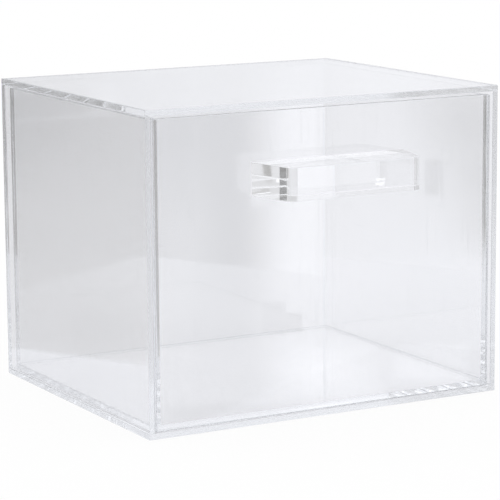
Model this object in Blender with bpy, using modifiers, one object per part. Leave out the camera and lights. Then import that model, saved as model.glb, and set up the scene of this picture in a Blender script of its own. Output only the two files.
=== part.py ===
"""Clear acrylic towel box: an open-fronted case with a pull-out drawer.

Metres, +Z up, +Y to the back. The origin is the centre of the case's underside.
Every piece is flat sheet with polished edges, except the drawer's solid block handle.
"""
import math

import bmesh
import bpy
from mathutils import Vector

# Case: outside size and sheet
case_width = 0.3048
case_depth = 0.254
case_height = 0.2413
case_sheet = 0.0045

# Drawer: sheet, and the clearances to the inside of the case
drawer_sheet = 0.0045
drawer_side_clearance = 0.0022
drawer_top_clearance = 0.0025
drawer_back_clearance = 0.0035
drawer_front_recess = 0.001
slide_gap = 0.0003

# Handle: a solid block, wide where it meets the drawer and narrower at its front face
handle_base_length = 0.1308
handle_front_length = 0.1112
handle_reach = 0.041
handle_height = 0.0254
handle_below_drawer_top = 0.0365
handle_corner_radius = 0.0055
handle_corner_segments = 6
handle_rim_radius = 0.0008
handle_rim_segments = 3

# Joints between bonded sheets, and the polished break on every sheet's edges
bond_gap = 0.0003
edge_break = 0.0004
edge_break_segments = 2

# Acrylic, faintly blue in the sheet and clearer in the cast block
sheet_colour = (0.90, 0.93, 0.96, 1.0)
block_colour = (0.94, 0.94, 0.94, 1.0)
acrylic_roughness = 0.03
acrylic_ior = 1.49

# Inside of the case
case_front_y = -case_depth / 2
case_back_y = case_depth / 2
case_floor_z = case_sheet
case_ceiling_z = case_height - case_sheet
case_side_height = case_ceiling_z - case_floor_z - 2 * bond_gap
case_inner_width = case_width - 2 * case_sheet
case_inner_back_y = case_back_y - case_sheet

# Outside of the drawer, from the inside of the case and the clearances
drawer_width = case_inner_width - 2 * drawer_side_clearance
drawer_front_y = case_front_y + drawer_front_recess
drawer_back_y = case_inner_back_y - drawer_back_clearance
drawer_bottom_z = case_floor_z + slide_gap
drawer_top_z = case_ceiling_z - drawer_top_clearance

# Drawer floor behind the front panel, and the walls that stand on it
floor_front_y = drawer_front_y + drawer_sheet + bond_gap
floor_depth = drawer_back_y - floor_front_y
wall_bottom_z = drawer_bottom_z + drawer_sheet + bond_gap
wall_height = drawer_top_z - wall_bottom_z
drawer_inner_width = drawer_width - 2 * drawer_sheet


def clear_scene():
    for item in list(bpy.data.objects):
        bpy.data.objects.remove(item, do_unlink=True)


def open_collection(name):
    """A collection for the part, made active so that new objects land in it."""
    collection = bpy.data.collections.new(name)
    bpy.context.scene.collection.children.link(collection)
    layer = bpy.context.view_layer.layer_collection.children[name]
    bpy.context.view_layer.active_layer_collection = layer
    return collection


def acrylic(name, colour):
    material = bpy.data.materials.new(name + "_acrylic")
    material.use_nodes = True
    shader = material.node_tree.nodes["Principled BSDF"]
    shader.inputs["Base Color"].default_value = colour
    shader.inputs["Roughness"].default_value = acrylic_roughness
    shader.inputs["Metallic"].default_value = 0.0
    shader.inputs["IOR"].default_value = acrylic_ior
    shader.inputs["Transmission Weight"].default_value = 1.0
    return material


def place(piece, name, centre, colour, carrier):
    """Name a piece, give it its acrylic, and put its centre at a world position."""
    piece.name = name
    piece.data.name = name
    piece.data.materials.append(acrylic(name, colour))
    piece.location = centre
    if carrier is not None:
        piece.parent = carrier
        piece.location = centre - carrier.location
    return piece


def add_sheet(name, size, centre, carrier=None):
    """A flat rectangular sheet with its edges broken all round."""
    bpy.ops.mesh.primitive_cube_add(size=1.0)
    sheet = bpy.context.object
    sheet.scale = size
    bpy.ops.object.transform_apply(location=False, rotation=False, scale=True)
    polish = sheet.modifiers.new("edge_break", "BEVEL")
    polish.width = edge_break
    polish.segments = edge_break_segments
    polish.limit_method = "ANGLE"
    return place(sheet, name, Vector(centre), sheet_colour, carrier)


def add_case():
    """Plates over the whole footprint, with the sides and the back standing between them."""
    side_x = (case_width - case_sheet) / 2
    side_z = (case_floor_z + case_ceiling_z) / 2
    plate = (case_width, case_depth, case_sheet)
    side = (case_sheet, case_depth, case_side_height)
    back = (case_inner_width - 2 * bond_gap, case_sheet, case_side_height)
    add_sheet("case_bottom", plate, (0, 0, case_sheet / 2))
    add_sheet("case_top", plate, (0, 0, case_height - case_sheet / 2))
    add_sheet("case_left_side", side, (-side_x, 0, side_z))
    add_sheet("case_right_side", side, (side_x, 0, side_z))
    add_sheet("case_back", back, (0, case_back_y - case_sheet / 2, side_z))


def add_slide():
    """The drawer's carrier, on the line that it slides along towards -Y."""
    slide = bpy.data.objects.new("drawer_slide", None)
    bpy.context.collection.objects.link(slide)
    slide.empty_display_type = "SINGLE_ARROW"
    slide.empty_display_size = case_depth / 2
    slide.location = (0, drawer_front_y, drawer_bottom_z)
    return slide


def add_drawer(slide):
    """A front panel of full size, and a floor behind it that carries three walls."""
    front_height = drawer_top_z - drawer_bottom_z
    front = (drawer_width, drawer_sheet, front_height)
    front_centre = (0, drawer_front_y + drawer_sheet / 2, drawer_bottom_z + front_height / 2)
    add_sheet("drawer_front", front, front_centre, slide)

    floor = (drawer_width, floor_depth, drawer_sheet)
    floor_centre_y = floor_front_y + floor_depth / 2
    add_sheet("drawer_floor", floor, (0, floor_centre_y, drawer_bottom_z + drawer_sheet / 2), slide)

    wall_z = wall_bottom_z + wall_height / 2
    wall_x = (drawer_width - drawer_sheet) / 2
    wall = (drawer_sheet, floor_depth, wall_height)
    add_sheet("drawer_left_side", wall, (-wall_x, floor_centre_y, wall_z), slide)
    add_sheet("drawer_right_side", wall, (wall_x, floor_centre_y, wall_z), slide)

    back = (drawer_inner_width - 2 * bond_gap, drawer_sheet, wall_height)
    add_sheet("drawer_back", back, (0, drawer_back_y - drawer_sheet / 2, wall_z), slide)


def round_edges(form, edges, radius, segments):
    bmesh.ops.bevel(
        form, geom=edges, offset=radius, segments=segments, profile=0.5, affect="EDGES"
    )


def add_handle(slide):
    """A block whose ends slant in to two well-rounded front corners, with finer rims."""
    form = bmesh.new()
    bmesh.ops.create_cube(form, size=1.0)
    for corner in form.verts:
        length = handle_front_length if corner.co.y < 0 else handle_base_length
        corner.co.x *= length
        corner.co.y *= handle_reach
        corner.co.z *= handle_height
    upright = [edge for edge in form.edges if edge.verts[0].co.z * edge.verts[1].co.z < 0]
    front_corners = [edge for edge in upright if all(end.co.y < 0 for end in edge.verts)]
    round_edges(form, front_corners, handle_corner_radius, handle_corner_segments)

    level = [edge for edge in form.edges if edge.verts[0].co.z * edge.verts[1].co.z > 0]
    rims = [edge for edge in level if any(end.co.y < 0.49 * handle_reach for end in edge.verts)]
    round_edges(form, rims, handle_rim_radius, handle_rim_segments)
    mesh = bpy.data.meshes.new("drawer_handle")
    form.to_mesh(mesh)
    form.free()
    mesh.shade_smooth()
    mesh.set_sharp_from_angle(angle=math.radians(30))
    block = bpy.data.objects.new("drawer_handle", mesh)
    bpy.context.collection.objects.link(block)
    centre_y = drawer_front_y - bond_gap - handle_reach / 2
    centre_z = drawer_top_z - handle_below_drawer_top - handle_height / 2
    place(block, "drawer_handle", Vector((0, centre_y, centre_z)), block_colour, slide)


def build():
    clear_scene()
    open_collection("acrylic_towel_holder")
    add_case()
    slide = add_slide()
    add_drawer(slide)
    add_handle(slide)


build()
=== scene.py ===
"""Looks of the clear acrylic towel box: polished sheets, solvent joints and a block handle.

Metres, +Z up, +Y to the back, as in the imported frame.
"""
import math

import bpy
from mathutils import Matrix, Vector


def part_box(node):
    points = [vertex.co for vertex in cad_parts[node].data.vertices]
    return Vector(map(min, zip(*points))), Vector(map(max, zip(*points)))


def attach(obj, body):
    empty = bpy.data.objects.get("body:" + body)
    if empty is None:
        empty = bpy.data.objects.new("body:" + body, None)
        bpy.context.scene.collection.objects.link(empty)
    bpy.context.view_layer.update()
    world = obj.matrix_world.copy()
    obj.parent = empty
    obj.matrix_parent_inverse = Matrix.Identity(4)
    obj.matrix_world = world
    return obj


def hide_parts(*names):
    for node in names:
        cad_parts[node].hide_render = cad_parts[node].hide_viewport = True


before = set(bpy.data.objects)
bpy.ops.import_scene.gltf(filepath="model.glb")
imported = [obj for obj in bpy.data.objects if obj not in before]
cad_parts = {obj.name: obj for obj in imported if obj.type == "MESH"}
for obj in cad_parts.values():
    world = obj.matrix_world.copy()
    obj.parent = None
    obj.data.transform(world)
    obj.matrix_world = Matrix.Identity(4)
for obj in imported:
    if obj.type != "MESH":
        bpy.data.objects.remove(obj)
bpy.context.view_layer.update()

# Joints and edges of the real box
joint_film = 0.00002
joint_groove = 0.00012
rim_break = 0.00035
rim_segments = 3
handle_base_length = 0.1308
handle_front_length = 0.1112
handle_corner_radius = 0.0055
handle_corner_segments = 10
handle_rim_radius = 0.0008
handle_rim_segments = 4
# The rims are finer on the handle's ends and at its back: share of the radius
handle_side_share = 0.4
handle_back_share = 0.4

# Axes, and the bench rules: how near is the same place, and how square is facing an axis
X, Y, Z = 0, 1, 2
same_place = 0.00005
squarely = 0.9
front_half = 0.5
sharp_angle_cosine = 0.9
smooth_angle = math.radians(40)

# Optics
acrylic_ior = 1.512
joint_ior = 1.0
light_bounces = 160

# Tints, clean and where a mark lies
face_clear, face_marked = (0.992, 0.992, 0.994), (0.9, 0.905, 0.91)
edge_clear, edge_marked = (0.985, 0.99, 0.997), (0.94, 0.955, 0.975)
joint_clear, joint_marked = (0.985, 0.988, 0.992), (0.93, 0.94, 0.95)
block_clear, block_marked = (0.996, 0.996, 0.996), (0.95, 0.95, 0.95)

# How far the faces of the sheets and of the block stand out of flat, in metres
face_ripple = 0.000008
block_ripple = 0.000001

# Edges: the least and the greatest haze, and the depth of the cutter's lines in metres
polished = (0.0, 0.02, 0.0000002)
sawn = (0.2, 0.28, 0.0000002)
scraped = (0.1, 0.2, 0.000002)

# Stretch of a pattern: lines run along a level edge, up an upright one, along the block
level_lines = (14, 14, 2600)
upright_lines = (2600, 2600, 14)
block_lines = (12, 1600, 1600)

# Scuffs on the faces, up them and across them: stretch and turn of the pattern
scuffs_up = ((420, 420, 9), (0.05, 0.03, 0))
scuffs_across = ((420, 8, 420), (0.04, 0, 0.12))
scuff_tint, scuff_haze = 0.35, 0.06
wiping_stretch, wiping_turn, wiping_haze = (1, 1, 0.25), (0.2, 0.1, 0), 0.02
uneven_stretch, uneven_tint = (1, 1, 0.3), 0.12

# Specks: size of their cells and their radius in metres, and the share of cells with one
dust = (0.016, 0.0005, 0.3)
joint_bubbles = (0.0035, 0.0006, 0.35)
block_specks = (0.011, 0.0004, 0.3)

# Studio: a pale table under the box, and tones round the room by degrees from straight ahead
view_azimuth = math.radians(-29.288)
# Share of the table's white that it shows in any light: for other rays, and for the camera
floor_glow = 0.75
floor_glow_direct = 0.95
backdrop_tone = 0.912
table_size = 12
table_gap = 0.0003
# Seen in a reflection the table ends here, in metres across and away
table_left = -0.271
table_right = 0.315
table_front = -0.183
table_edge_softness = 0.004
table_front_softness = 0.002
table_tone = 0.857
ceiling_tone = 1.0
room_colour = (0.992, 1.0, 1.035)
# Tones by compass direction: degrees from straight ahead and tone, below and above eye level
room_below = (
    (-180, 0.6), (-120, 0.7), (-90, 0.9), (-62, 0.88), (-58, 0.62), (-55.5, 0.53), (-52.5, 0.42),
    (-49, 0.7), (-40, 0.95), (14, 0.95), (30, 0.8), (80, 0.8), (100, 0.75), (118, 0.4), (121, 0.08),
    (124, 0.15), (127, 0.5), (140, 0.55), (180, 0.6),
)
room_above = (
    (-180, 0.9), (-120, 0.8), (-90, 0.86), (-62, 0.88), (-56, 0.65), (-13, 0.6), (-7, 0.8),
    (-4, 0.87), (-3, 0.91), (-2, 0.95), (1, 0.95), (3, 1.0), (5, 1.0), (8, 0.85), (12, 0.65),
    (60, 0.7), (112, 0.85), (121.8, 0.88), (123.5, 0.72), (130, 0.72), (160, 0.8), (180, 0.9),
)
dim_colour = (1.01, 1.0, 0.99)
# Broad soft shades: heading and height in degrees, half their width and height, and tone
room_shades = (
    (-52.4, -6.5, 2.2, 1.4, 0.2), (-55.0, -11.9, 2.4, 0.9, 0.46),
    (117.2, -8.9, 0.7, 0.9, 1.1), (123.1, -10.0, 0.7, 1.3, 0.35),
    (-64.1, -7.2, 1.08, 0.8, 0.36), (-64.3, -8.5, 1.0, 0.6, 0.38), (-64.5, -9.5, 0.83, 0.6, 0.4),
    (1.9, 13.2, 0.9, 0.5, 1.22),
)
# Small lamps and dark things, the same way
room_spots = (
    (120.87, -11.82, 0.29, 0.38, 0.3), (120.37, -11.93, 0.2, 0.22, 0.3),
    (-63.0, 12.85, 0.9, 0.4, 1.5), (-63.0, 26.0, 11.0, 10.0, 0.42), (-62.8, 1.1, 1.0, 1.2, 0.42),
    (122.4, 19.8, 2.6, 4.0, 0.7),
    (121.05, -8.65, 0.31, 0.5, 0.8), (121.05, 8.9, 0.31, 0.6, 0.74), (120.6, 1.3, 0.8, 1.2, 0.75),
    (-63.6, 14.3, 1.7, 0.8, 0.72), (1.0, 14.7, 3.2, 0.8, 0.88), (-59.0, 8.8, 10.0, 2.0, 0.4),
    (-62.98, -8.45, 0.17, 0.42, 0.22), (-62.9, 8.8, 0.4, 0.6, 0.2),
    (121.02, -8.4, 0.045, 0.35, 0.45), (121.02, 8.8, 0.045, 0.35, 0.62),
    (121.29, 8.55, 0.03, 0.03, 1.3), (120.91, 8.47, 0.03, 0.04, 1.3),
    (120.91, 8.66, 0.03, 0.05, 1.3),
    (118.22, -8.54, 0.12, 0.05, 5.0), (118.22, -8.71, 0.12, 0.07, 5.0),
    (126.0, 13.6, 5.0, 2.6, 1.0),
)
shade_softness = 1.0
spot_softness = 0.2
# A pale panel to the right of the camera: where its inner edge is in degrees, and its tones
panel_heading = 121.4
panel_tone = 1.24
panel_foot_tone = 0.98
# Changes of tone: from and to, as the sine of the height or in radians, then before and after
room_foot = (-0.24, -0.1, 1.1, 0.82)
room_foot_glow = (-0.25, -0.17, 0.28, 0)
room_head = (0.1, 0.22, 0.94, 1.08)
eye_level = (-0.03, 0.06, 0, 1)
ceiling_edge = (0.14, 0.26, 0, 1)
panel_inner_edge = (-0.0068, 0.021, 0, 1)
panel_outer_edge = (-0.02, 0.03, 1, 0.15)
panel_slant, panel_slant_offset = 0.677, 0.0191
panel_top_edge = (-0.08, -0.02, 1, 0)
panel_far_side = (0.14, 0.2, 1, 0)
panel_foot = (-0.24, -0.18, panel_foot_tone, panel_tone)
room_colour_from = (0.35, 0.9, 0, 1)

# Camera: angles, and the place that it looks at, in metres
camera_elevation = math.radians(10.189)
camera_roll = math.radians(-0.401)
camera_distance = 1.8965
camera_aim = (0, 0, 0.12075)
camera_moved_right, camera_moved_down = 0.0032, 0.0135
sensor_width_mm = 36.0
lens_mm = 172.0
nearest_seen, farthest_seen = 0.05, 60.0


def rest():
    """Leave edit mode and drop every selection."""
    if bpy.context.mode != "OBJECT":
        bpy.ops.object.mode_set(mode="OBJECT")
    bpy.ops.object.select_all(action="DESELECT")


def pick_up(piece):
    """Make one piece selected and active, in object mode."""
    rest()
    piece.select_set(True)
    bpy.context.view_layer.objects.active = piece


def saw_blank(name, low, high):
    """A square-cut blank between two corners, its object at the origin."""
    rest()
    centre = [(a + b) / 2 for a, b in zip(low, high)]
    size = [b - a for a, b in zip(low, high)]
    bpy.ops.mesh.primitive_cube_add(size=1, location=centre, scale=size)
    blank = bpy.context.object
    bpy.ops.object.transform_apply(location=True, rotation=False, scale=True)
    blank.name = name
    blank.data.name = name
    return blank


def score(piece, axis, places):
    """Score a flat line right round a piece at each place along an axis."""
    normal = [0.0, 0.0, 0.0]
    normal[axis] = 1.0
    pick_up(piece)
    bpy.ops.object.mode_set(mode="EDIT")
    for place in places:
        point = [0.0, 0.0, 0.0]
        point[axis] = place
        bpy.ops.mesh.select_all(action="SELECT")
        bpy.ops.mesh.bisect(plane_co=point, plane_no=normal)
    bpy.ops.object.mode_set(mode="OBJECT")


def select_edges(piece, wanted):
    """In edit mode, select the sharp edges that the test accepts."""
    bpy.ops.object.mode_set(mode="EDIT")
    bpy.ops.mesh.select_mode(type="EDGE")
    bpy.ops.mesh.select_all(action="DESELECT")
    bpy.ops.object.mode_set(mode="OBJECT")
    mesh = piece.data
    sides = {}
    for face in mesh.polygons:
        for key in face.edge_keys:
            sides.setdefault(key, []).append(face.normal.copy())
    found = 0
    for edge in mesh.edges:
        normals = sides.get(tuple(sorted(edge.vertices)), [])
        sharp = len(normals) == 2 and normals[0].dot(normals[1]) < sharp_angle_cosine
        a, b = (mesh.vertices[i].co for i in edge.vertices)
        edge.select = sharp and wanted(a, b)
        found += edge.select
    bpy.ops.object.mode_set(mode="EDIT")
    return found


def polish(piece, width, segments, wanted):
    """Round the edges that the test accepts."""
    pick_up(piece)
    if select_edges(piece, wanted):
        bpy.ops.mesh.bevel(
            offset_type="OFFSET", offset=width, segments=segments, profile=0.5, affect="EDGES"
        )
    bpy.ops.object.mode_set(mode="OBJECT")


def buff(piece):
    """Smooth the rounded edges and keep every flat face optically flat."""
    pick_up(piece)
    bpy.ops.object.shade_smooth_by_angle(angle=smooth_angle)
    flat = piece.modifiers.new("flat_faces", "WEIGHTED_NORMAL")
    flat.keep_sharp = True
    flat.weight = 100
    bpy.ops.object.modifier_apply(modifier=flat.name)


def finish_faces(piece, materials, choose):
    """Give the piece its materials and pick one for each face."""
    piece.data.materials.clear()
    for material in materials:
        piece.data.materials.append(material)
    for face in piece.data.polygons:
        face.material_index = choose(face.center, face.normal)


def hand_over(piece, node, body):
    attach(piece, body)
    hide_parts(node)
    return piece


# Materials


def put(tree, kind, settings=(), inputs=()):
    """Add a node, with its own settings, and a value or a link for each named input."""
    made = tree.nodes.new("ShaderNode" + kind)
    for name, value in dict(settings).items():
        setattr(made, name, value)
    for name, value in dict(inputs).items():
        if isinstance(value, bpy.types.NodeSocket):
            tree.links.new(value, made.inputs[name])
        else:
            made.inputs[name].default_value = value
    return made


def smooth(tree, value, start, end, before, after):
    """A smooth change from one level to another while a value goes from start to end."""
    made = put(tree, "MapRange", {"interpolation_type": "SMOOTHSTEP"}, {
        "Value": value, "From Min": start, "From Max": end, "To Min": before, "To Max": after,
    })
    return made.outputs["Result"]


def math_node(tree, operation, first, second=0.0, third=0.0):
    inputs = {0: first, 1: second, 2: third}
    return put(tree, "Math", {"operation": operation}, inputs).outputs[0]


def place_on_piece(tree, stretch=(1, 1, 1), turn=(0, 0, 0)):
    """The piece's own coordinates, turned and then stretched for a pattern."""
    coordinates = put(tree, "TexCoord").outputs["Object"]
    turned = put(tree, "Mapping", {}, {"Vector": coordinates, "Rotation": turn})
    return put(tree, "Mapping", {}, {"Vector": turned.outputs[0], "Scale": stretch}).outputs[0]


def cloud(tree, scale, stretch=(1, 1, 1), turn=(0, 0, 0), detail=2.0):
    """Soft noise, from 0 to 1."""
    place = place_on_piece(tree, stretch, turn)
    made = put(tree, "TexNoise", {}, {"Vector": place, "Scale": scale, "Detail": detail})
    return made.outputs["Fac"]


def specks(tree, cell, radius, share):
    """Round specks: one in some of the cells, with cell and radius in metres."""
    place = place_on_piece(tree)
    cells = put(tree, "TexVoronoi", {}, {"Vector": place, "Scale": 1 / cell})
    inside = smooth(tree, cells.outputs["Distance"], 0.5 * radius / cell, radius / cell, 1, 0)
    pick = put(tree, "SeparateXYZ", {}, {0: cells.outputs["Color"]}).outputs[0]
    chosen = smooth(tree, pick, 1 - share, 1 - share + 0.01, 0, 1)
    return math_node(tree, "MULTIPLY", inside, chosen)


def hairlines(tree, stretch, turn, amount):
    """Long fine scuffs where stretched noise peaks."""
    return smooth(tree, cloud(tree, 1.0, stretch, turn, detail=0.0), 0.74, 0.8, 0, amount)


def acrylic(name, clear, marked, mark, roughness, ior=acrylic_ior):
    """Clear acrylic: its tint goes from clear to marked with a pattern."""
    material = bpy.data.materials.new(name)
    material.use_nodes = True
    tree = material.node_tree
    shader = tree.nodes["Principled BSDF"]
    shader.inputs["IOR"].default_value = ior
    shader.inputs["Transmission Weight"].default_value = 1.0
    tint = put(tree, "Mix", {"data_type": "RGBA"}, {"Factor": mark(tree)})
    tint.inputs["A"].default_value = (*clear, 1)
    tint.inputs["B"].default_value = (*marked, 1)
    tree.links.new(tint.outputs["Result"], shader.inputs["Base Color"])
    tree.links.new(roughness(tree), shader.inputs["Roughness"])
    return material


def ripple(material, height, depth):
    """Let a pattern stand proud of the surface by up to depth, in metres."""
    tree = material.node_tree
    bump = put(tree, "Bump", {}, {"Strength": 1.0, "Distance": depth, "Height": height(tree)})
    tree.links.new(bump.outputs[0], tree.nodes["Principled BSDF"].inputs["Normal"])


def sheet_marks(tree):
    """Dust, fine scuffs and a very faint unevenness of tint on a sheet's face."""
    lines = math_node(
        tree, "MAXIMUM",
        hairlines(tree, *scuffs_up, scuff_tint),
        hairlines(tree, *scuffs_across, scuff_tint),
    )
    marks = math_node(tree, "MAXIMUM", lines, specks(tree, *dust))
    uneven = smooth(tree, cloud(tree, 9.0, uneven_stretch), 0.35, 0.75, 0, uneven_tint)
    return math_node(tree, "ADD", uneven, marks)


def sheet_haze(tree):
    """Wiping marks and scuffs scatter a little; the rest of the face is polished."""
    wiping = cloud(tree, 30.0, wiping_stretch, wiping_turn)
    wiped = smooth(tree, wiping, 0.55, 0.75, 0.0, wiping_haze)
    return math_node(tree, "MAXIMUM", wiped, hairlines(tree, *scuffs_up, scuff_haze))


def cut_edge(name, lengthwise, finish):
    """An edge with the cutter's fine lines along it: polished, left as sawn or scraped."""
    finest, coarsest, depth = finish

    def lines(tree):
        return cloud(tree, 1.0, lengthwise, detail=3.0)

    def mark(tree):
        return smooth(tree, lines(tree), 0.4, 0.7, 0, 1)

    def haze(tree):
        return smooth(tree, lines(tree), 0.35, 0.7, finest, coarsest)

    edge = acrylic(name, edge_clear, edge_marked, mark, haze)
    ripple(edge, lines, depth)
    return edge


sheet_face = acrylic("sheet_face", face_clear, face_marked, sheet_marks, sheet_haze)
ripple(sheet_face, lambda tree: cloud(tree, 24.0, detail=0.0), face_ripple)
edge_level = cut_edge("polished_edge_level", level_lines, polished)
edge_upright = cut_edge("polished_edge_upright", upright_lines, polished)
front_level = cut_edge("sawn_front_level", level_lines, sawn)
front_upright = cut_edge("sawn_front_upright", upright_lines, sawn)
back_level = cut_edge("scraped_edge_level", level_lines, scraped)
back_upright = cut_edge("scraped_edge_upright", upright_lines, scraped)


def joint_marks(tree):
    """Small bubbles and uneven patches in the solvent joint."""
    patches = smooth(tree, cloud(tree, 60.0), 0.45, 0.7, 0, 0.4)
    return math_node(tree, "MAXIMUM", specks(tree, *joint_bubbles), patches)


def joint_haze(tree):
    return smooth(tree, cloud(tree, 90.0), 0.3, 0.7, 0.0, 0.08)


solvent_joint = acrylic(
    "solvent_joint", joint_clear, joint_marked, joint_marks, joint_haze, joint_ior
)


def block_marks(tree):
    """Sanding lines along the block, and the odd speck."""
    lines = smooth(tree, cloud(tree, 1.0, block_lines, detail=2.0), 0.5, 0.8, 0, 0.3)
    return math_node(tree, "MAXIMUM", lines, specks(tree, *block_specks))


def block_haze(tree):
    return smooth(tree, cloud(tree, 1.0, block_lines, detail=2.0), 0.4, 0.8, 0.0, 0.012)


block_acrylic = acrylic("block_acrylic", block_clear, block_marked, block_marks, block_haze)
ripple(block_acrylic, lambda tree: cloud(tree, 45.0, detail=0.0), block_ripple)

# Places of the materials on every sheet
FACE, EDGE, JOINT, BACK_EDGE, FRONT_EDGE = 0, 1, 2, 3, 4
level_sheet = [sheet_face, edge_level, solvent_joint, back_level, front_level]
upright_sheet = [sheet_face, edge_upright, solvent_joint, back_upright, front_upright]


def edge_of(normal):
    """Front edges are left as sawn and look softer than the polished ones."""
    return FRONT_EDGE if normal.y < -front_half else EDGE


# Places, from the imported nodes
case_low, plate_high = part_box("case_bottom")
case_top_low, case_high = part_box("case_top")
left_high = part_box("case_left_side")[1]
back_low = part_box("case_back")[0]
front_low, front_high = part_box("drawer_front")
floor_low, floor_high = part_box("drawer_floor")
wall_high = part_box("drawer_left_side")[1]
rear_low, rear_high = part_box("drawer_back")
grip_low, grip_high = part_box("drawer_handle")

# Joint planes
case_floor_z = plate_high.z
case_ceiling_z = case_top_low.z
case_inner_x = -left_high.x
case_inner_back_y = back_low.y
drawer_front_inner_y = front_high.y
drawer_floor_top_z = floor_high.z
drawer_inner_x = -wall_high.x
drawer_inner_back_y = rear_low.y


def facing(normal, axis, sign):
    """The face looks along an axis, to the side that the sign says."""
    return normal[axis] * sign > squarely


def across_axis(normal, axis):
    """The face looks along an axis, to either side."""
    return abs(normal[axis]) > squarely


def near(value, place):
    return abs(value - place) < same_place


def both_at(a, b, axis, place):
    """Both ends of an edge lie at a place along an axis."""
    return near(a[axis], place) and near(b[axis], place)


def build_plate(name, low, high, joint_z, joint_sign):
    """A plate over the whole footprint; the upright sheets are bonded to its inner face."""
    plate = saw_blank(name, low, high)
    score(plate, X, (-case_inner_x, case_inner_x))
    score(plate, Y, (case_inner_back_y,))

    def outer(a, b):
        return not both_at(a, b, Z, joint_z)

    def bonded(a, b):
        if not both_at(a, b, Z, joint_z):
            return False
        return not both_at(a, b, Y, low.y)

    polish(plate, joint_groove, 1, bonded)
    polish(plate, rim_break, rim_segments, outer)
    buff(plate)

    def choose(centre, normal):
        if facing(normal, Z, joint_sign) and near(centre.z, joint_z):
            if abs(centre.x) > case_inner_x or centre.y > case_inner_back_y:
                return JOINT
            return FACE
        if facing(normal, Y, 1):
            return BACK_EDGE
        return FACE if across_axis(normal, Z) else edge_of(normal)

    finish_faces(plate, level_sheet, choose)
    return hand_over(plate, name, "case")


def build_case_side(name, sign):
    """An upright side between the plates, with the back sheet bonded against its inner face."""
    outer_x = sign * case_high.x
    inner_x = sign * case_inner_x
    low = Vector((min(outer_x, inner_x), case_low.y, case_floor_z + joint_film))
    high = Vector((max(outer_x, inner_x), case_high.y, case_ceiling_z - joint_film))
    side = saw_blank(name, low, high)
    score(side, Y, (case_inner_back_y,))

    def level(a, b):
        return near(a.z, b.z) and (near(a.z, low.z) or near(a.z, high.z))

    def bonded(a, b):
        inner = both_at(a, b, X, inner_x)
        return level(a, b) and not inner

    def upright(a, b):
        at_front = both_at(a, b, Y, low.y)
        at_back = both_at(a, b, Y, high.y)
        inner = both_at(a, b, X, inner_x)
        return not level(a, b) and (at_front or (at_back and not inner))

    polish(side, joint_groove, 1, bonded)
    polish(side, rim_break, rim_segments, upright)
    buff(side)

    def choose(centre, normal):
        if across_axis(normal, Z):
            return JOINT
        if facing(normal, X, -sign) and centre.y > case_inner_back_y:
            return JOINT
        if facing(normal, Y, 1):
            return BACK_EDGE
        return FACE if across_axis(normal, X) else edge_of(normal)

    finish_faces(side, upright_sheet, choose)
    return hand_over(side, name, "case")


def build_case_back():
    """The back sheet, bonded on four sides."""
    low = Vector((-case_inner_x + joint_film, case_inner_back_y, case_floor_z + joint_film))
    high = Vector((case_inner_x - joint_film, case_high.y, case_ceiling_z - joint_film))
    back = saw_blank("case_back", low, high)
    polish(back, joint_groove, 1, lambda a, b: both_at(a, b, Y, high.y))
    buff(back)

    def choose(centre, normal):
        return FACE if across_axis(normal, Y) else JOINT

    finish_faces(back, upright_sheet, choose)
    return hand_over(back, "case_back", "case")


def build_drawer_front():
    """The full-size front, bonded to the floor and walls behind it."""
    low, high = front_low, front_high
    front = saw_blank("drawer_front", low, high)
    score(front, X, (-drawer_inner_x, drawer_inner_x))
    score(front, Z, (drawer_floor_top_z,))
    back_y = high.y

    def at_back(a, b):
        return both_at(a, b, Y, back_y)

    def on_top(a, b):
        return both_at(a, b, Z, high.z)

    def behind(a, b):
        return at_back(a, b) and not on_top(a, b)

    def others(a, b):
        return not at_back(a, b) or on_top(a, b)

    polish(front, joint_groove, 1, behind)
    polish(front, rim_break, rim_segments, others)
    buff(front)

    def choose(centre, normal):
        if facing(normal, Y, 1) and near(centre.y, back_y):
            if abs(centre.x) > drawer_inner_x or centre.z < drawer_floor_top_z:
                return JOINT
            return FACE
        return FACE if facing(normal, Y, -1) else FRONT_EDGE

    finish_faces(front, upright_sheet, choose)
    return hand_over(front, "drawer_front", "drawer")


def build_drawer_floor():
    """The floor behind the front, with the walls and the back standing on it."""
    low = Vector((floor_low.x, drawer_front_inner_y + joint_film, floor_low.z))
    high = Vector((floor_high.x, floor_high.y, drawer_floor_top_z))
    base = saw_blank("drawer_floor", low, high)
    score(base, X, (-drawer_inner_x, drawer_inner_x))
    score(base, Y, (drawer_inner_back_y,))

    def bonded(a, b):
        at_front = both_at(a, b, Y, low.y)
        on_top = both_at(a, b, Z, high.z)
        return (at_front and not on_top) or (on_top and not at_front)

    def others(a, b):
        at_front = both_at(a, b, Y, low.y)
        on_top = both_at(a, b, Z, high.z)
        return not at_front and not on_top

    polish(base, joint_groove, 1, bonded)
    polish(base, rim_break, rim_segments, others)
    buff(base)

    def choose(centre, normal):
        if facing(normal, Y, -1):
            return JOINT
        if facing(normal, Z, 1):
            if abs(centre.x) > drawer_inner_x or centre.y > drawer_inner_back_y:
                return JOINT
            return FACE
        if facing(normal, Y, 1):
            return BACK_EDGE
        return FACE if across_axis(normal, Z) else edge_of(normal)

    finish_faces(base, level_sheet, choose)
    return hand_over(base, "drawer_floor", "drawer")


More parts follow.
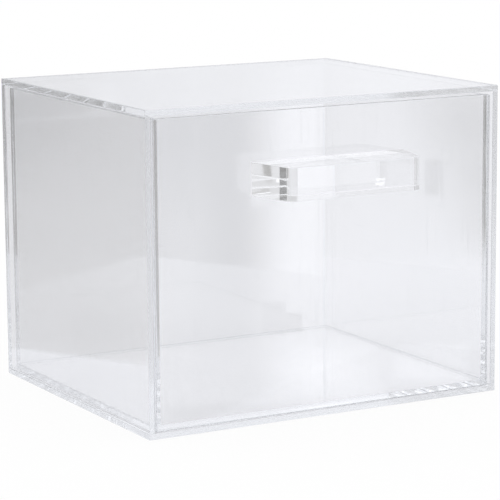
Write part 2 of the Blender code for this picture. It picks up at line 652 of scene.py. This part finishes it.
def build_drawer_wall(name, sign):
    """A side wall on the floor, bonded to the front and to the back sheet."""
    outer_x = sign * floor_high.x
    inner_x = sign * drawer_inner_x
    front_y = drawer_front_inner_y + joint_film
    low = Vector((min(outer_x, inner_x), front_y, drawer_floor_top_z + joint_film))
    high = Vector((max(outer_x, inner_x), floor_high.y, wall_high.z))
    wall = saw_blank(name, low, high)
    score(wall, Y, (drawer_inner_back_y,))

    def at_joint(a, b):
        at_front = both_at(a, b, Y, low.y)
        at_foot = both_at(a, b, Z, low.z)
        return at_front or at_foot

    def inner(a, b):
        return both_at(a, b, X, inner_x)

    def bonded(a, b):
        return at_joint(a, b) and not inner(a, b)

    def others(a, b):
        behind = both_at(a, b, Y, high.y)
        return not at_joint(a, b) and not (behind and inner(a, b))

    polish(wall, joint_groove, 1, bonded)
    polish(wall, rim_break, rim_segments, others)
    buff(wall)

    def choose(centre, normal):
        if facing(normal, Y, -1) or facing(normal, Z, -1):
            return JOINT
        if facing(normal, X, -sign) and centre.y > drawer_inner_back_y:
            return JOINT
        if facing(normal, Y, 1):
            return BACK_EDGE
        return FACE if across_axis(normal, X) else edge_of(normal)

    finish_faces(wall, upright_sheet, choose)
    return hand_over(wall, name, "drawer")


def build_drawer_back():
    """The back sheet between the walls, standing on the floor."""
    foot_z = drawer_floor_top_z + joint_film
    low = Vector((-drawer_inner_x + joint_film, drawer_inner_back_y, foot_z))
    high = Vector((drawer_inner_x - joint_film, floor_high.y, rear_high.z))
    rear = saw_blank("drawer_back", low, high)

    def bonded(a, b):
        outer = both_at(a, b, Y, high.y)
        on_top = both_at(a, b, Z, high.z)
        return outer and not on_top

    def top_rim(a, b):
        return both_at(a, b, Z, high.z)

    polish(rear, joint_groove, 1, bonded)
    polish(rear, rim_break, rim_segments, top_rim)
    buff(rear)

    def choose(centre, normal):
        if across_axis(normal, X) or facing(normal, Z, -1):
            return JOINT
        return FACE if across_axis(normal, Y) else EDGE

    finish_faces(rear, upright_sheet, choose)
    return hand_over(rear, "drawer_back", "drawer")


def build_handle():
    """The block handle: ends that slant in to a front face with rounded edges."""
    low = Vector((-handle_base_length / 2, grip_low.y, grip_low.z))
    high = Vector((handle_base_length / 2, front_low.y - joint_film, grip_high.z))
    block = saw_blank("drawer_handle", low, high)
    pick_up(block)
    bpy.ops.object.mode_set(mode="EDIT")
    bpy.ops.mesh.select_mode(type="VERT")
    bpy.ops.mesh.select_all(action="DESELECT")
    bpy.ops.object.mode_set(mode="OBJECT")
    for corner in block.data.vertices:
        corner.select = near(corner.co.y, low.y)
    bpy.ops.object.mode_set(mode="EDIT")
    bpy.ops.transform.resize(
        value=(handle_front_length / handle_base_length, 1, 1), center_override=(0, low.y, low.z)
    )
    bpy.ops.object.mode_set(mode="OBJECT")

    def front_corner(a, b):
        return both_at(a, b, Y, low.y) and near(a.x, b.x)

    polish(block, handle_corner_radius, handle_corner_segments, front_corner)
    behind = low.y + 1.5 * handle_corner_radius

    def share_of_radius(a, b):
        if both_at(a, b, Y, high.y):
            return handle_back_share
        return handle_side_share if max(a.y, b.y) > behind else 1.0

    block.data.attributes.new("bevel_weight_edge", "FLOAT", "EDGE")
    select_edges(block, lambda a, b: True)
    bpy.ops.object.mode_set(mode="OBJECT")
    rims = block.data.attributes["bevel_weight_edge"]
    for edge in block.data.edges:
        if edge.select:
            a, b = (block.data.vertices[i].co for i in edge.vertices)
            rims.data[edge.index].value = share_of_radius(a, b)
    rounding = block.modifiers.new("rounded_rims", "BEVEL")
    rounding.limit_method = "WEIGHT"
    rounding.width = handle_rim_radius
    rounding.segments = handle_rim_segments
    bpy.ops.object.modifier_apply(modifier=rounding.name)
    buff(block)
    finish_faces(block, [block_acrylic], lambda centre, normal: 0)
    return hand_over(block, "drawer_handle", "drawer")


build_plate("case_bottom", case_low, plate_high, case_floor_z, 1)
build_plate("case_top", case_top_low, case_high, case_ceiling_z, -1)
build_case_side("case_left_side", -1)
build_case_side("case_right_side", 1)
build_case_back()
build_drawer_front()
build_drawer_floor()
build_drawer_wall("drawer_left_side", -1)
build_drawer_wall("drawer_right_side", 1)
build_drawer_back()
build_handle()

# Stage


def blend(tree, factor, first, second):
    made = put(tree, "Mix", {"data_type": "FLOAT"}, {"Factor": factor, "A": first, "B": second})
    return made.outputs["Result"]


def scaled(tree, colour, level):
    made = put(tree, "VectorMath", {"operation": "SCALE"}, {0: colour, "Scale": level})
    return made.outputs[0]


def ring_of_tones(tree, turn, tones):
    """A tone for each compass direction, from pairs of degrees and tone."""
    ring = put(tree, "ValToRGB", {}, {"Fac": turn})
    stops = ring.color_ramp.elements
    stops[0].position = 0.0
    stops[1].position = 1.0
    for stop, end in ((stops[0], tones[0]), (stops[1], tones[-1])):
        stop.color = (end[1], end[1], end[1], 1)
    for degrees, tone in tones[1:-1]:
        stop = stops.new((degrees + 180) / 360)
        stop.color = (tone, tone, tone, 1)
    return ring.outputs["Color"]


def reflected_ray(tree):
    path = put(tree, "LightPath")
    return math_node(tree, "GREATER_THAN", path.outputs["Glossy Depth"], 0.5)


def white_or_backdrop(tree):
    """White where nothing is in front, and the real backdrop's tone through the sheets."""
    path = put(tree, "LightPath")
    made = put(tree, "Mix", {"data_type": "RGBA"}, {"Factor": path.outputs["Is Transmission Ray"]})
    made.inputs["A"].default_value = (1, 1, 1, 1)
    made.inputs["B"].default_value = [backdrop_tone * c for c in room_colour] + [1]
    return made.outputs["Result"]


def studio_axes(tree, coordinates):
    """Coordinates turned so that X runs across the view and Y away from the camera."""
    turned = put(tree, "Mapping", {}, {"Vector": coordinates, "Rotation": (0, 0, -view_azimuth)})
    return put(tree, "SeparateXYZ", {}, {0: turned.outputs[0]}).outputs


def within(tree, value, middle, half, softness):
    """1 near the middle and 0 outside, with an edge as soft as that share of half the width."""
    off = math_node(tree, "ABSOLUTE", math_node(tree, "SUBTRACT", value, middle))
    return smooth(tree, off, (1 - softness) * half, (1 + softness) * half, 1, 0)


def patch(tree, room, heading, height, shape, softness):
    """The room with one patch of another tone in it."""
    at, rise, half_width, half_height, tone = shape
    beside = within(tree, heading, math.radians(at), math.radians(half_width), softness)
    level = within(tree, height, math.sin(math.radians(rise)), math.radians(half_height), softness)
    return blend(tree, math_node(tree, "MULTIPLY", beside, level), room, tone)


def white_stage():
    """White all round for what is seen straight or through sheet, and a room in the reflections."""
    world = bpy.data.worlds.new("studio")
    bpy.context.scene.world = world
    world.use_nodes = True
    tree = world.node_tree
    backdrop = tree.nodes["Background"]
    across, away, height = studio_axes(tree, put(tree, "TexCoord").outputs["Generated"])
    heading = math_node(tree, "ARCTAN2", across, away)
    turn = math_node(tree, "MULTIPLY_ADD", heading, 1 / (2 * math.pi), 0.5)

    low_room = ring_of_tones(tree, turn, room_below)
    high_room = ring_of_tones(tree, turn, room_above)
    low_room = math_node(tree, "MULTIPLY", low_room, smooth(tree, height, *room_foot))
    low_room = math_node(tree, "ADD", low_room, smooth(tree, height, *room_foot_glow))
    high_room = math_node(tree, "MULTIPLY", high_room, smooth(tree, height, *room_head))
    room = blend(tree, smooth(tree, height, *eye_level), low_room, high_room)

    # The pale panel, with an outer edge that leans
    sideways = math_node(tree, "SUBTRACT", math.radians(panel_heading), heading)
    inner = smooth(tree, sideways, *panel_inner_edge)
    slant = math_node(tree, "MULTIPLY_ADD", height, panel_slant, panel_slant_offset)
    outer = smooth(tree, math_node(tree, "ADD", sideways, slant), *panel_outer_edge)
    low = smooth(tree, height, *panel_top_edge)
    near_side = smooth(tree, sideways, *panel_far_side)
    panel = math_node(tree, "MULTIPLY", math_node(tree, "MULTIPLY", inner, outer), low)
    panel = math_node(tree, "MULTIPLY", panel, near_side)
    room = blend(tree, panel, room, smooth(tree, height, *panel_foot))

    room = blend(tree, smooth(tree, height, *ceiling_edge), room, ceiling_tone)
    for shape in room_shades:
        room = patch(tree, room, heading, height, shape, shade_softness)
    for shape in room_spots:
        room = patch(tree, room, heading, height, shape, spot_softness)
    tone = put(tree, "Mix", {"data_type": "RGBA"}, {"Factor": reflected_ray(tree)})
    tree.links.new(white_or_backdrop(tree), tone.inputs["A"])
    lightness = smooth(tree, room, *room_colour_from)
    hue = put(tree, "Mix", {"data_type": "RGBA"}, {"Factor": lightness})
    hue.inputs["A"].default_value = (*dim_colour, 1)
    hue.inputs["B"].default_value = (*room_colour, 1)
    tree.links.new(scaled(tree, hue.outputs["Result"], room), tone.inputs["B"])
    tree.links.new(tone.outputs["Result"], backdrop.inputs["Color"])
    backdrop.inputs["Strength"].default_value = 1.0


def lay_floor():
    """A pale table top; seen in a reflection it ends where the real one does."""
    bpy.ops.mesh.primitive_plane_add(size=table_size, location=(0, 0, -table_gap))
    floor = bpy.context.object
    floor.name = "studio_floor"
    material = bpy.data.materials.new("studio_floor_white")
    material.use_nodes = True
    tree = material.node_tree
    paint = tree.nodes["Principled BSDF"]
    paint.inputs["Roughness"].default_value = 1.0
    paint.inputs["Specular IOR Level"].default_value = 0.0
    reflected = reflected_ray(tree)
    shown = put(tree, "Mix", {"data_type": "RGBA"}, {"Factor": reflected})
    tree.links.new(white_or_backdrop(tree), shown.inputs["A"])
    shown.inputs["B"].default_value = [table_tone * c for c in room_colour] + [1]
    path = put(tree, "LightPath")
    glow = blend(tree, path.outputs["Is Camera Ray"], floor_glow, floor_glow_direct)
    matt = math_node(tree, "SUBTRACT", 1.0, glow)
    tree.links.new(scaled(tree, shown.outputs["Result"], matt), paint.inputs["Base Color"])
    tree.links.new(shown.outputs["Result"], paint.inputs["Emission Color"])
    tree.links.new(glow, paint.inputs["Emission Strength"])

    axes = studio_axes(tree, put(tree, "TexCoord").outputs["Object"])
    across, away = axes[0], axes[1]
    soft, soft_front = table_edge_softness, table_front_softness
    left = smooth(tree, across, table_left - soft, table_left + soft, 1, 0)
    right = smooth(tree, across, table_right - soft, table_right + soft, 0, 1)
    front = smooth(tree, away, table_front - soft_front, table_front + soft_front, 1, 0)
    outside = math_node(tree, "MAXIMUM", math_node(tree, "MAXIMUM", left, right), front)
    open_to_room = math_node(tree, "MULTIPLY", outside, reflected)
    clear = put(tree, "BsdfTransparent")
    both = put(tree, "MixShader", {}, {0: open_to_room, 1: paint.outputs[0], 2: clear.outputs[0]})
    tree.links.new(both.outputs[0], tree.nodes["Material Output"].inputs["Surface"])
    floor.data.materials.append(material)


def place_camera():
    """The photo's viewpoint: front left, a little above the box."""
    azimuth, elevation, roll = view_azimuth, camera_elevation, camera_roll
    flat = math.cos(elevation)
    back = Vector((math.sin(azimuth) * flat, -math.cos(azimuth) * flat, math.sin(elevation)))
    level = Vector((math.cos(azimuth), math.sin(azimuth), 0))
    rise = back.cross(level)
    right = level * math.cos(roll) + rise * math.sin(roll)
    up = rise * math.cos(roll) - level * math.sin(roll)
    aim = Vector(camera_aim)
    eye = aim + back * camera_distance + right * camera_moved_right - up * camera_moved_down
    lens = bpy.data.cameras.new("box_camera")
    lens.sensor_width = sensor_width_mm
    lens.lens = lens_mm
    lens.clip_start = nearest_seen
    lens.clip_end = farthest_seen
    camera = bpy.data.objects.new("box_camera", lens)
    bpy.context.scene.collection.objects.link(camera)
    rows = [(right[i], up[i], back[i], eye[i]) for i in range(3)] + [(0, 0, 0, 1)]
    camera.matrix_world = Matrix(rows)
    bpy.context.scene.camera = camera


white_stage()
lay_floor()
place_camera()

scene = bpy.context.scene
scene.view_settings.view_transform = "Standard"
scene.cycles.max_bounces = light_bounces
scene.cycles.transmission_bounces = light_bounces
scene.cycles.glossy_bounces = light_bounces
scene.cycles.transparent_max_bounces = light_bounces

rest()
